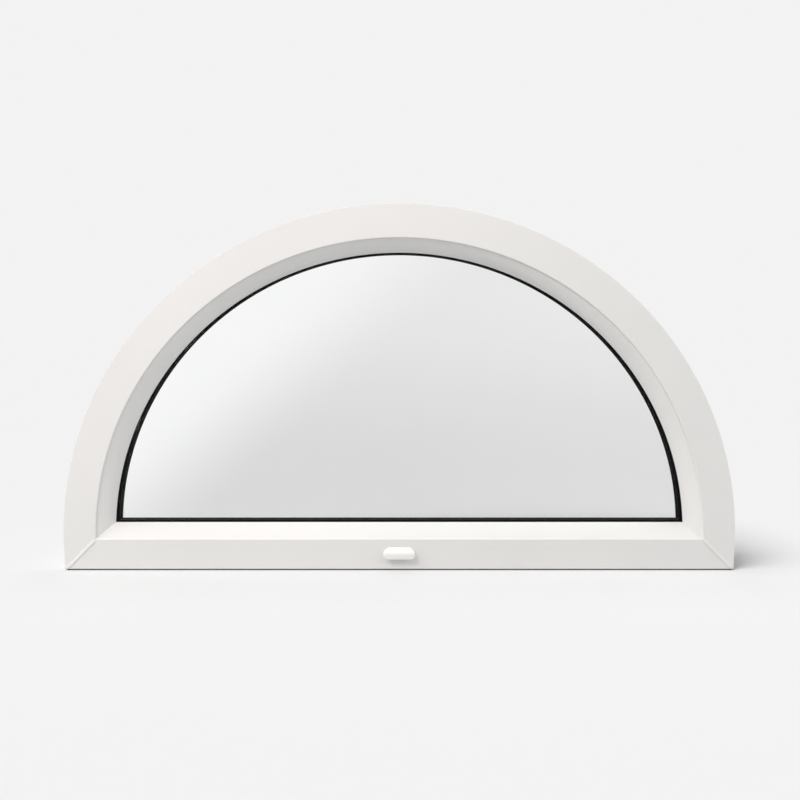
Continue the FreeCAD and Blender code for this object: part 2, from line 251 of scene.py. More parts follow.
def makeRubber(name, looks):
    material, graph = startMaterial(name)
    place = graph.node("ShaderNodeTexCoord", out="Object")
    grain = graph.node("ShaderNodeAttribute", {"attribute_name": "grain"}, out="Vector")
    lines = noise(graph, grain, 1.0, 2.0, looks["lineStretch"])
    dustAndFootShade = noise(graph, place, looks["dustScale"], 6.0)
    pores = noise(graph, place, looks["poreScale"], 2.0)
    colour = graph.blend((dustAndFootShade * 2.2 - 0.75).clipped(0, 1), looks["dark"], looks["bloom"])
    roughness = looks["roughness"] + 0.25 * (dustAndFootShade - 0.4) + 0.10 * (pores - 0.5)
    ribs = bump(graph, lines, looks["lineDepth"])
    shader = graph.node("ShaderNodeBsdfPrincipled", {}, {
        "Base Color": colour, "Roughness": roughness, "Specular IOR Level": looks["shine"],
        "Normal": bump(graph, pores, looks["lineDepth"] * 0.5, ribs)})
    endMaterial(graph, shader)
    return material


# black warm-edge spacer bar, matt with rolled lines along it
spacerFinish = {
    "dark": (0.007, 0.007, 0.007, 1),
    "light": (0.017, 0.017, 0.018, 1),
    "speckScale": 900,
    "roughness": 0.45,
    "roughnessSpread": 0.2,
    "shine": 0.006,
    "lineStretch": (1200, 1200, 4),
    "lineDepth": 0.04 * mm,
}


def makeSpacerFinish(name, looks):
    material, graph = startMaterial(name)
    place = graph.node("ShaderNodeTexCoord", out="Object")
    grain = graph.node("ShaderNodeAttribute", {"attribute_name": "grain"}, out="Vector")
    lines = noise(graph, grain, 1.0, 1.0, looks["lineStretch"])
    speck = noise(graph, place, looks["speckScale"], 3.0)
    colour = graph.blend(lines * 0.6 + speck * 0.4, looks["dark"], looks["light"])
    shader = graph.node("ShaderNodeBsdfPrincipled", {}, {
        "Base Color": colour,
        "Roughness": looks["roughness"] + looks["roughnessSpread"] * (speck - 0.5),
        "Specular IOR Level": looks["shine"], "Normal": bump(graph, lines, looks["lineDepth"])})
    endMaterial(graph, shader)
    return material


# black sealant, gunned and tooled by hand
sealantLooks = {
    "dark": (0.008, 0.008, 0.008, 1),
    "light": (0.022, 0.022, 0.021, 1),
    "dustScale": 45,
    "roughness": 0.38,
    "roughnessSpread": 0.3,
    "rippleScale": 160,
    "rippleDepth": 0.25 * mm,
}


def makeSealant(name, looks):
    material, graph = startMaterial(name)
    place = graph.node("ShaderNodeTexCoord", out="Object")
    ripple = noise(graph, place, looks["rippleScale"], 4.0)
    dustAndFootShade = noise(graph, place, looks["dustScale"], 5.0)
    shader = graph.node("ShaderNodeBsdfPrincipled", {}, {
        "Base Color": graph.blend(dustAndFootShade, looks["dark"], looks["light"]),
        "Roughness": looks["roughness"] + looks["roughnessSpread"] * (dustAndFootShade - 0.4),
        "Normal": bump(graph, ripple, looks["rippleDepth"])})
    endMaterial(graph, shader)
    return material


# grey polypropylene of the setting blocks
blockLooks = {
    "light": (0.16, 0.18, 0.20, 1),
    "shade": (0.11, 0.125, 0.14, 1),
    "speckScale": 300,
    "roughness": 0.5,
    "roughnessSpread": 0.2,
    "ribDepth": 0.2 * mm,
    "ribScale": 260,
}


def makeBlockPlastic(name, looks):
    material, graph = startMaterial(name)
    place = graph.node("ShaderNodeTexCoord", out="Object")
    ribs = graph.node("ShaderNodeTexWave", {"bands_direction": "X"}, {
        "Vector": place, "Scale": looks["ribScale"], "Distortion": 0.0}, out="Fac")
    speck = noise(graph, place, looks["speckScale"], 3.0)
    shader = graph.node("ShaderNodeBsdfPrincipled", {}, {
        "Base Color": graph.blend(speck, looks["light"], looks["shade"]),
        "Roughness": looks["roughness"] + looks["roughnessSpread"] * (speck - 0.5),
        "Normal": bump(graph, ribs, looks["ribDepth"])})
    endMaterial(graph, shader)
    return material


# float glass: it lets most light straight through and mirrors more at a slant; a trace of film
# blurs the mirrored light in patches
paneLooks = {
    "through": (0.990, 0.992, 0.990, 1),  # at each face
    "clear": 0.004,  # share that the outer pane mirrors head on
    "coated": 0.105,  # and the inner pane, which has a low-emissivity coating
    "mirror": (0.97, 0.98, 0.98, 1),
    "film": 0.02,
    "filmScale": 14,
    "rollerScale": 5,
    "rollerStretch": (0.3, 1, 3),
    "rollerDepth": 0.004 * mm,
}


def makePane(name, looks, headOn):
    material, graph = startMaterial(name)
    place = graph.node("ShaderNodeTexCoord", out="Object")
    film = noise(graph, place, looks["filmScale"], 6.0)
    roller = noise(graph, place, looks["rollerScale"], 1.0, looks["rollerStretch"])
    slant = graph.node("ShaderNodeLayerWeight", {}, {"Blend": 0.5}, out="Facing")
    share = (headOn + (1 - headOn) * slant ** 5) * (0.97 + 0.06 * film)
    mirror = graph.node("ShaderNodeBsdfPrincipled", {}, {
        "Base Color": looks["mirror"], "Metallic": 1.0,
        "Roughness": (looks["film"] * (film * 3 - 1.3)).clipped(0, looks["film"]),
        "Normal": bump(graph, roller, looks["rollerDepth"])})
    clear = graph.node("ShaderNodeBsdfTransparent", {}, {"Color": looks["through"]})
    endMaterial(graph, graph.node("ShaderNodeMixShader", {}, {0: share, 1: clear, 2: mirror}))
    return material


vinyl = makeVinyl("frame_vinyl", frameVinyl)
coverWhite = makeCoverPlastic("cover_white", coverPlastic)
rubber = makeRubber("gasket_rubber_black", gasketRubber)
spacerBlack = makeSpacerFinish("spacer_black", spacerFinish)
sealant = makeSealant("edge_sealant_black", sealantLooks)
blockGrey = makeBlockPlastic("block_grey", blockLooks)
clearPane = makePane("clear_pane", paneLooks, paneLooks["clear"])
coatedPane = makePane("coated_pane", paneLooks, paneLooks["coated"])
print("finishes ready:", len(bpy.data.materials))


# geometry helpers

def link(thing):
    bpy.context.scene.collection.objects.link(thing)
    return thing


# a flat curve through the points, closed for a section and open for a path
def flatCurve(name, points, closed):
    curve = bpy.data.curves.new(name, "CURVE")
    curve.dimensions = "3D"
    spline = curve.splines.new("POLY")
    spline.points.add(len(points) - 1)
    for spot, point in zip(spline.points, points):
        spot.co = (point[0], point[1], 0, 1)
    spline.use_cyclic_u = closed
    return link(bpy.data.objects.new(name, curve))


def arcSteps(start, end, radius, count=9):
    chord = end - start
    side = Vector((-chord.y, chord.x)).normalized()
    centre = (start + end) / 2 + side * math.sqrt(radius ** 2 - chord.length_squared / 4)
    turn = 2 * math.asin(chord.length / 2 / radius)
    arm = start - centre
    return [centre + Matrix.Rotation(turn * step / count, 2) @ arm for step in range(1, count)]


# A section's corners are (inset, depth, round) and may add the radius of an arc that leads there.
# Each round gets a short flat on both sides, which keeps the shading of the wide faces level.
def roundedLoop(corners, stepAngle=math.radians(15), flat=0.15 * mm):
    spots = []
    for index, corner in enumerate(corners):
        spot = Vector(corner[:2])
        if len(corner) == 4:
            lead = arcSteps(Vector(corners[index - 1][:2]), spot, corner[3])
            spots += [(point, 0) for point in lead]
        spots.append((spot, corner[2]))
    points = []
    for index, (spot, soft) in enumerate(spots):
        if not soft:
            points.append(spot)
            continue
        back = spots[index - 1][0] - spot
        ahead = spots[(index + 1) % len(spots)][0] - spot
        turn = math.pi - back.angle(ahead)
        reach = soft * math.tan(turn / 2)
        back.normalize()
        ahead.normalize()
        centre = spot + (back + ahead).normalized() * soft / math.cos(turn / 2)
        arm = spot + back * reach - centre
        side = 1 if ahead.cross(back) > 0 else -1
        count = max(2, round(turn / stepAngle))
        points.append(spot + back * (reach + flat))
        points += [centre + Matrix.Rotation(side * turn * step / count, 2) @ arm for step in range(count + 1)]
        points.append(spot + ahead * (reach + flat))
    return points


# The outer perimeter, clockwise as seen from outside: the arch between the two mitres, then the sill.
# The first and last short steps set each end square to its mitre.
perimeter = {"arcSteps": 192, "sillSteps": 48, "cornerAngles": (45, 44.4, 36, 27, 18, 9, 0)}


def cornerPoints(fromSide):
    spots = []
    for degrees in perimeter["cornerAngles"]:
        angle = math.radians(degrees)
        along, off = cornerRound * math.sin(angle), cornerRound * (1 - math.cos(angle))
        level = archRadius - cornerRound
        spots.append((archRadius - off, cornerRound - along) if fromSide else (level + along, off))
    return spots


def archPath():
    rightEnd = cornerPoints(fromSide=True)
    leftEnd = [(-x, height) for x, height in rightEnd]
    steps = perimeter["arcSteps"]
    arc = []
    for step in range(steps + 1):
        angle = math.pi * (1 - step / steps)
        arc.append((archRadius * math.cos(angle), legHeight + archRadius * math.sin(angle)))
    return leftEnd + arc + rightEnd[::-1]


def sillPath():
    rightEnd = cornerPoints(fromSide=False)
    leftEnd = [(-x, height) for x, height in rightEnd]
    steps = perimeter["sillSteps"]
    level = archRadius - cornerRound
    run = [(level * (1 - 2 * step / steps), 0) for step in range(1, steps)]
    return rightEnd + run + leftEnd[::-1]


# node trees

def startTree(name, inputs):
    tree = bpy.data.node_groups.new(name, "GeometryNodeTree")
    for label, kind in {"Start": "NodeSocketGeometry", **inputs}.items():
        tree.interface.new_socket(label, in_out="INPUT", socket_type=kind)
    tree.interface.new_socket("Result", in_out="OUTPUT", socket_type="NodeSocketGeometry")
    graph = Wire(tree)
    return tree, graph, graph.node("NodeGroupInput")


def endTree(graph, mesh, finish):
    whole = graph.node("GeometryNodeRealizeInstances", {}, {"Geometry": mesh})
    painted = graph.node("GeometryNodeSetMaterial", {}, {"Geometry": whole, "Material": finish})
    graph.node("NodeGroupOutput", {}, {"Result": painted})


# smooth everywhere but along edges sharper than the limit
def shadeByAngle(graph, mesh, limit):
    angle = graph.node("GeometryNodeInputMeshEdgeAngle", out="Unsigned Angle")
    smooth = graph.node("GeometryNodeSetShadeSmooth", {"domain": "FACE"}, {"Geometry": mesh, "Shade Smooth": True})
    return graph.node("GeometryNodeSetShadeSmooth", {"domain": "EDGE"}, {
        "Geometry": smooth, "Selection": angle > limit, "Shade Smooth": False})


def standUp(graph, mesh):
    return graph.node("GeometryNodeTransform", {}, {"Geometry": mesh, "Rotation": (math.pi / 2, 0, 0)})


def keep(graph, geometry, name, value, kind="FLOAT"):
    return graph.node("GeometryNodeStoreNamedAttribute", {"data_type": kind, "domain": "POINT"}, {
        "Geometry": geometry, "Name": name, "Value": value})


def kept(graph, name):
    return graph.node("GeometryNodeInputNamedAttribute", {"data_type": "FLOAT"}, {"Name": name}, out="Attribute")


# Sweeps a section along the perimeter. Every point of the section stops where it meets the same
# point of the section beyond the mitre, so the arch and the sill close on each other.
def sweepTree():
    tree, graph, given = startTree("sweep_section", {
        "Section": "NodeSocketObject", "Path": "NodeSocketObject", "Radius": "NodeSocketFloat",
        "Leg Height": "NodeSocketFloat", "Sharp Angle": "NodeSocketFloat", "Finish": "NodeSocketMaterial"})
    place = graph.node("GeometryNodeInputPosition")
    flat = graph.node("ShaderNodeSeparateXYZ", {}, {"Vector": place})
    section = graph.node("GeometryNodeObjectInfo", {}, {"Object": given.out("Section")}, out="Geometry")
    section = keep(graph, section, "inset", flat.out("X"))
    section = keep(graph, section, "depth", flat.out("Y"))
    path = graph.node("GeometryNodeObjectInfo", {}, {"Object": given.out("Path")}, out="Geometry")
    path = graph.node("GeometryNodeSetCurveNormal", {"mode": "Z_UP"}, {"Curve": path})
    path = keep(graph, path, "run", graph.node("GeometryNodeSplineParameter", out="Length"))
    mesh = graph.node("GeometryNodeCurveToMesh", {}, {"Curve": path, "Profile Curve": section, "Fill Caps": True})
    inset = kept(graph, "inset")
    rise = (inset - given.out("Leg Height")).clipped(0, 1)
    reach = given.out("Radius") - inset
    stop = (reach * reach - rise * rise) ** 0.5
    tiny, mergeGap = 0.02 * mm, 0.002 * mm
    beyond = (flat.out("Y") < inset - tiny) + (abs(flat.out("X")) > stop + tiny)
    side = graph.math("SIGN", flat.out("X"))
    mitre = graph.node("ShaderNodeCombineXYZ", {}, {"X": side * stop, "Y": inset, "Z": flat.out("Z")})
    mesh = graph.node("GeometryNodeSetPosition", {}, {"Geometry": mesh, "Selection": beyond, "Position": mitre})
    mesh = graph.node("GeometryNodeMergeByDistance", {}, {"Geometry": mesh, "Distance": mergeGap})
    grain = graph.node("ShaderNodeCombineXYZ", {}, {"X": inset, "Y": kept(graph, "depth"), "Z": kept(graph, "run")})
    mesh = keep(graph, standUp(graph, mesh), "grain", grain, "FLOAT_VECTOR")
    endTree(graph, shadeByAngle(graph, mesh, given.out("Sharp Angle")), given.out("Finish"))
    return tree


# A raised weld line on a face, from one end to the other. It was dressed down by hand, so its height
# wavers and its crest leans to one side.
def weldTree():
    tree, graph, given = startTree("weld_line", {
        "From": "NodeSocketVector", "To": "NodeSocketVector", "Width": "NodeSocketFloat",
        "Height": "NodeSocketFloat", "Lean": "NodeSocketFloat", "Level": "NodeSocketFloat",
        "Waver": "NodeSocketFloat", "Seed": "NodeSocketFloat", "Finish": "NodeSocketMaterial"})
    steps, ringSides, roughScale, taper = 72, 20, 140.0, 14
    line = graph.node("GeometryNodeCurvePrimitiveLine", {}, {"Start": given.out("From"), "End": given.out("To")})
    line = graph.node("GeometryNodeResampleCurve", {}, {"Curve": line, "Count": steps})
    line = graph.node("GeometryNodeSetCurveNormal", {"mode": "Z_UP"}, {"Curve": line})
    share = graph.node("GeometryNodeSplineParameter", out="Factor")
    place = graph.node("GeometryNodeInputPosition")
    rough = graph.node("ShaderNodeTexNoise", {"noise_dimensions": "4D"}, {
        "Vector": place, "W": given.out("Seed"), "Scale": roughScale, "Detail": 2.0})
    ends = (graph.math("MINIMUM", share, 1 - share) * taper).clipped(0.05, 1) ** 0.5
    girth = ends * (1 + given.out("Waver") * (rough - 0.5))
    ring = graph.node("GeometryNodeCurvePrimitiveCircle", {}, {"Resolution": ringSides, "Radius": 1.0}, out="Curve")
    shape = graph.node("ShaderNodeCombineXYZ", {}, {"X": given.out("Width") / 2, "Y": given.out("Height"), "Z": 1.0})
    ring = graph.node("GeometryNodeTransform", {}, {"Geometry": ring, "Scale": shape})
    height = graph.node("ShaderNodeSeparateXYZ", {}, {"Vector": place}, out="Y")
    lean = graph.node("ShaderNodeCombineXYZ", {}, {"X": given.out("Lean") * height})
    ring = graph.node("GeometryNodeSetPosition", {}, {"Geometry": ring, "Offset": lean})
    bead = graph.node("GeometryNodeCurveToMesh", {}, {
        "Curve": line, "Profile Curve": ring, "Scale": girth, "Fill Caps": True})
    bead = standUp(graph, bead)
    lift = graph.node("ShaderNodeCombineXYZ", {}, {"Y": given.out("Level")})
    bead = graph.node("GeometryNodeTransform", {}, {"Geometry": bead, "Translation": lift})
    endTree(graph, shadeByAngle(graph, bead, math.radians(60)), given.out("Finish"))
    return tree


# Two rows of needle holes along the spacer's visible side, which let the drying agent breathe.
def perforationTree():
    tree, graph, given = startTree("spacer_holes", {
        "Path": "NodeSocketObject", "Spacing": "NodeSocketFloat", "Hole Radius": "NodeSocketFloat",
        "Hole Depth": "NodeSocketFloat", "Row Gap": "NodeSocketFloat", "Level": "NodeSocketFloat",
        "Finish": "NodeSocketMaterial"})
    path = graph.node("GeometryNodeObjectInfo", {}, {"Object": given.out("Path")}, out="Geometry")
    path = graph.node("GeometryNodeSetCurveNormal", {"mode": "Z_UP"}, {"Curve": path})
    spots = graph.node("GeometryNodeCurveToPoints", {"mode": "LENGTH"}, {
        "Curve": path, "Length": given.out("Spacing")}, out="Points")
    facing = graph.node("FunctionNodeAlignRotationToVector", {"axis": "Z"}, {"Vector": spots.out("Normal")})
    sides, narrowing = 10, 0.6
    hole = graph.node("GeometryNodeMeshCone", {"fill_type": "NGON"}, {
        "Vertices": sides, "Radius Top": given.out("Hole Radius") * narrowing,
        "Radius Bottom": given.out("Hole Radius"), "Depth": given.out("Hole Depth")}, out="Mesh")
    row = graph.node("GeometryNodeInstanceOnPoints", {}, {"Points": spots, "Instance": hole, "Rotation": facing})
    rows = graph.node("GeometryNodeJoinGeometry")
    for side in (-0.5, 0.5):
        shift = graph.node("ShaderNodeCombineXYZ", {}, {"Z": given.out("Row Gap") * side - given.out("Level")})
        moved = graph.node("GeometryNodeTransform", {}, {"Geometry": row, "Translation": shift})
        rows.feed(rows.socket.node.inputs[0], moved)
    endTree(graph, standUp(graph, rows), given.out("Finish"))
    return tree


# keeps what the modifiers make as a plain mesh
def bake(piece):
    depsgraph = bpy.context.evaluated_depsgraph_get()
    mesh = bpy.data.meshes.new_from_object(
        piece.evaluated_get(depsgraph), preserve_all_data_layers=True, depsgraph=depsgraph)
    piece.modifiers.clear()
    before = piece.data
    piece.data = mesh
    bpy.data.meshes.remove(before)
    mesh.name = piece.name
    return piece


# runs a tree on an empty object
def growMesh(tree, name, values):
    piece = link(bpy.data.objects.new(name, bpy.data.meshes.new(name + "_empty")))
    modifier = piece.modifiers.new(tree.name, "NODES")
    modifier.node_group = tree
    for item in tree.interface.items_tree:
        if item.in_out == "INPUT" and item.name in values:
            modifier[item.identifier] = values[item.name]
    return bake(piece)


def meshPiece(name, shell):
    mesh = bpy.data.meshes.new(name)
    shell.to_mesh(mesh)
    shell.free()
    return link(bpy.data.objects.new(name, mesh))


def settle(piece, slot, *stoodFor):
    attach(piece, "root")
    if stoodFor:
        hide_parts(*stoodFor)
    return piece


# frame section: face, arris, quirk and ovolo, gasket groove, rebate, bead groove and clip grooves
frameShape = {
    "faceWidth": 43.2 * mm,
    "edgeRound": 0.5 * mm,
    "roomRound": 1.5 * mm,
    "arrisRound": 1.5 * mm,
    "quirkDepth": 3.4 * mm,
    "quirkRound": 0.3 * mm,
    "ovoloRadius": 40 * mm,
    "outerLegDepth": 27.5 * mm,
    "noseRound": 1.0 * mm,
    "grooveNear": 53.0 * mm,
    "grooveFar": 50.0 * mm,
    "grooveDepth": 3.0 * mm,
    "footGrooveFront": 64.8 * mm,
    "footGrooveBack": 67.6 * mm,
    "footGrooveDepth": 4.4 * mm,
    "clipInset": 17.5 * mm,
    "clipWidth": 8 * mm,
    "clipDepth": 4 * mm,
    "clipRound": 0.4 * mm,
}


def frameSection():
    shape = frameShape
    face = shape["faceWidth"]
    legBack = faceY + shape["outerLegDepth"]
    grooveFloor = legBack - shape["grooveDepth"]
    footFront = faceY + shape["footGrooveFront"]
    footBack = faceY + shape["footGrooveBack"]
    footFloor = rebateInset - shape["footGrooveDepth"]
    clip = [shape["clipInset"] - shape["clipWidth"] / 2, shape["clipInset"] + shape["clipWidth"] / 2]
    clipFloor, clipRound = shape["clipDepth"], shape["clipRound"]
    corners = [
        (0, faceY, shape["edgeRound"]),
        (face, faceY, shape["arrisRound"]),
        (face, faceY + shape["quirkDepth"], shape["quirkRound"]),
        (sightInset, legBack, shape["noseRound"], shape["ovoloRadius"]),
        (shape["grooveNear"], legBack, 0),
        (shape["grooveNear"], grooveFloor, 0),
        (shape["grooveFar"], grooveFloor, 0),
        (shape["grooveFar"], legBack, 0),
        (rebateInset, legBack, 0),
        (rebateInset, footFront, 0),
        (footFloor, footFront, 0),
        (footFloor, footBack, 0),
        (rebateInset, footBack, 0),
        (rebateInset, roomY, shape["roomRound"]),
        (0, roomY, shape["roomRound"]),
    ]
    for near, far in ((roomY - clip[0], roomY - clip[1]), (faceY + clip[1], faceY + clip[0])):
        groove = ((0, near), (clipFloor, near), (clipFloor, far), (0, far))
        corners += [(inset, depth, clipRound) for inset, depth in groove]
    return corners


# outer gasket: a strip with a soft lip on the sightline and a foot in its groove
outerGasketShape = {
    "cover": 9.3 * mm,
    "thickness": 2.5 * mm,
    "footNear": 52.8 * mm,
    "footFar": 50.2 * mm,
    "footDepth": 2.8 * mm,
    "lipRound": 0.7 * mm,
}


def outerGasketSection():
    shape = outerGasketShape
    low = sightInset - shape["cover"]
    front = glassFrontY - shape["thickness"]
    foot = front - shape["footDepth"]
    return [
        (low, front, 0),
        (shape["footFar"], front, 0),
        (shape["footFar"], foot, 0),
        (shape["footNear"], foot, 0),
        (shape["footNear"], front, 0),
        (sightInset, front, shape["lipRound"]),
        (sightInset, glassFrontY, shape["lipRound"]),
        (low, glassFrontY, 0),
    ]


# inner gasket, with a lip that stands a little past the bead
innerGasketShape = {"lipRound": 0.8 * mm, "glassRound": 0.2 * mm}


def innerGasketSection():
    shape = innerGasketShape
    low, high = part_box("sill_gasket_inner")
    return [
        (low.z, low.y, 0),
        (high.z, low.y, shape["glassRound"]),
        (high.z, high.y, shape["lipRound"]),
        (low.z, high.y, 0),
    ]


# spacer bar with a shallow step along both panes
spacerShape = {"rise": 0.6 * mm, "edgeRound": 0.4 * mm, "stepWidth": 1.6 * mm, "stepDepth": 0.5 * mm}


def spacerSection():
    shape = spacerShape
    low, high = spacerLow.z, spacerHigh.z + shape["rise"]
    front, back = spacerLow.y, spacerHigh.y
    step = shape["stepWidth"]
    top = high - shape["stepDepth"]
    return [
        (low, front, 0),
        (high, front, 0),
        (high, front + step, shape["edgeRound"] / 2),
        (top, front + step + shape["stepDepth"], 0),
        (top, back - step - shape["stepDepth"], 0),
        (high, back - step, shape["edgeRound"] / 2),
        (high, back, 0),
        (low, back, 0),
    ]


# glazing bead: a bevelled strip on the rebate with its foot in the bead groove
beadShape = {
    "land": 2.0 * mm,
    "fall": 4.5 * mm,
    "edge": 1.5 * mm,
    "softRound": 0.8 * mm,
    "glassRound": 0.2 * mm,
    "seatRound": 0.3 * mm,
    "footBack": 67.4 * mm,
    "footFront": 65.0 * mm,
}


def beadSection():
    shape = beadShape
    beadLow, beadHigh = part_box("sill_glazing_bead")
    foot, front = beadLow.z, beadLow.y
    top, back = beadHigh.z, beadHigh.y
    soft = shape["softRound"]
    low = top - shape["fall"]
    return [
        (rebateInset, front, 0),
        (top, front, shape["glassRound"]),
        (top, front + shape["land"], soft),
        (low, back - shape["edge"], soft),
        (low - shape["edge"], back, soft),
        (rebateInset, back, shape["seatRound"]),
        (rebateInset, faceY + shape["footBack"], 0),
        (foot, faceY + shape["footBack"], 0),
        (foot, faceY + shape["footFront"], 0),
        (rebateInset, faceY + shape["footFront"], 0),
    ]


paths = {"arch": flatCurve("arch_path", archPath(), False), "sill": flatCurve("sill_path", sillPath(), False)}
sections = {
    "frame": (frameSection(), vinyl, "frame_pvc"),
    "gasket_outer": (outerGasketSection(), rubber, "gasket_rubber"),
    "gasket_inner": (innerGasketSection(), rubber, "gasket_rubber"),
    "spacer": (spacerSection(), spacerBlack, "spacer_bar"),
    "glazing_bead": (beadSection(), vinyl, "frame_pvc"),
}
sweep = sweepTree()
sharpAngle = math.radians(32)
swept = {}
for label, (corners, finish, slot) in sections.items():
    outline = flatCurve(label + "_section", roundedLoop(corners), True)
    for run, path in paths.items():
        node = run + "_" + label
        piece = growMesh(sweep, node + "_swept", {
            "Section": outline, "Path": path, "Radius": archRadius, "Leg Height": legHeight,
            "Sharp Angle": sharpAngle, "Finish": finish})
        swept[node] = piece
        print("swept", node, len(piece.data.polygons), "faces")
    bpy.data.objects.remove(outline)
for path in paths.values():
    bpy.data.objects.remove(path)

# cuts in the sill: the drain slot, the well that leads down to it from the rebate, and a relief under
# the front foot that runs back into the clip groove
drainShape = {"length": 30 * mm, "level": 20.4 * mm, "height": 4 * mm, "run": 33.5 * mm, "well": 4.5 * mm}
reliefShape = {"rise": 1.7 * mm, "run": 16 * mm}


def addBlock(shell, low, high):
    spots = itertools.product((low[2], high[2]), (low[1], high[1]), (low[0], high[0]))
    corners = [shell.verts.new((x, y, z)) for z, y, x in spots]
    sides = ((0, 2, 3, 1), (4, 5, 7, 6), (0, 1, 5, 4), (2, 6, 7, 3), (0, 4, 6, 2), (1, 3, 7, 5))
    return [shell.faces.new([corners[index] for index in side]) for side in sides]


def cutSill(piece):
    shape = drainShape
    half = shape["length"] / 2
    top = shape["level"] + shape["height"]
    back = faceY + shape["run"]
    spare = 1 * mm
    boxes = (
        ((-half, faceY - spare, shape["level"]), (half, back, top)),
        ((-half, back - shape["well"], shape["level"]), (half, back, rebateInset + spare)),
        ((-archRadius - spare, faceY - spare, -spare),
         (archRadius + spare, faceY + reliefShape["run"], reliefShape["rise"])),
    )
    for low, high in boxes:
        shell = bmesh.new()
        addBlock(shell, low, high)
        cutter = meshPiece("sill_cut", shell)
        cutter.data.materials.append(vinyl)
        cut = piece.modifiers.new("sill_cut", "BOOLEAN")
        cut.object = cutter
        cut.solver = "EXACT"
        bake(piece)
        bpy.data.objects.remove(cutter)
    piece.data.set_sharp_from_angle(angle=sharpAngle)


cutSill(swept["sill_frame"])
for node, piece in swept.items():
    settle(piece, sections[node.split("_", 1)[1]][2], node)

# weld lines on the two mitres, proud on the outer face and dressed almost flush on the room face
weldShape = {
    "outer": {"width": 4.4 * mm, "height": 0.9 * mm, "level": faceY, "near": 2.2 * mm, "far": 42.4 * mm},
    "room": {"width": 2.4 * mm, "height": 0.25 * mm, "level": roomY - 0.1 * mm, "near": 1.4 * mm, "far": 37.4 * mm},
    "waver": 0.3,
    "lean": 1.4,
    "seedStep": 3.7,
}
weld = weldTree()
for seed, (face, side) in enumerate((face, side) for face in ("outer", "room") for side in (-1, 1)):
    shape = weldShape[face]
    ends = {}
    for label, inset in (("From", shape["near"]), ("To", shape["far"])):
        rise = max(inset - legHeight, 0)
        ends[label] = (side * math.sqrt((archRadius - inset) ** 2 - rise ** 2), inset, 0)
    piece = growMesh(weld, "weld_%s_%s" % (face, "right" if side > 0 else "left"), {
        **ends, "Width": shape["width"], "Height": shape["height"], "Level": shape["level"],
        "Lean": side * weldShape["lean"], "Waver": weldShape["waver"],
        "Seed": weldShape["seedStep"] * seed, "Finish": vinyl})
    settle(piece, "frame_pvc")
print("weld lines on both mitres")

# needle holes in the spacer
holeShape = {"spacing": 6 * mm, "radius": 0.55 * mm, "depth": 0.12 * mm, "rowGap": 6 * mm}


def spacerPath():
    inset = spacerHigh.z + spacerShape["rise"] - spacerShape["stepDepth"]
    reach = archRadius - inset
    first = math.asin((inset - legHeight) / reach)
    steps = perimeter["arcSteps"]
    spots = []
    for step in range(steps + 1):
        angle = math.pi - first - (math.pi - 2 * first) * step / steps
        spots.append((reach * math.cos(angle), legHeight + reach * math.sin(angle)))
    return spots + [spots[0]]


spacerLine = flatCurve("spacer_line", spacerPath(), False)
holes = growMesh(perforationTree(), "spacer_holes", {
    "Path": spacerLine, "Spacing": holeShape["spacing"], "Hole Radius": holeShape["radius"],
    "Hole Depth": holeShape["depth"], "Row Gap": holeShape["rowGap"],
    "Level": (spacerLow.y + spacerHigh.y) / 2, "Finish": sealant})
bpy.data.objects.remove(spacerLine)
settle(holes, "spacer_bar")
print("spacer holes:", len(holes.data.polygons), "faces")

# weep cover: a hipped hood with round lower corners, open below and behind, and two prongs that hold
# it in the drain slot
coverShape = {
    "frontHeight": 9.5 * mm,
    "hip": 6 * mm,
    "lowRound": 6.5 * mm,
    "rimRound": 1.6 * mm,
    "rimAngle": math.radians(30),
    "wall": 1.3 * mm,
    "prongOffset": 12 * mm,
    "prongThickness": 1.6 * mm,
    "prongHeight": 3.6 * mm,
    "prongRound": 0.25 * mm,
    "sharpAngle": math.radians(35),
}


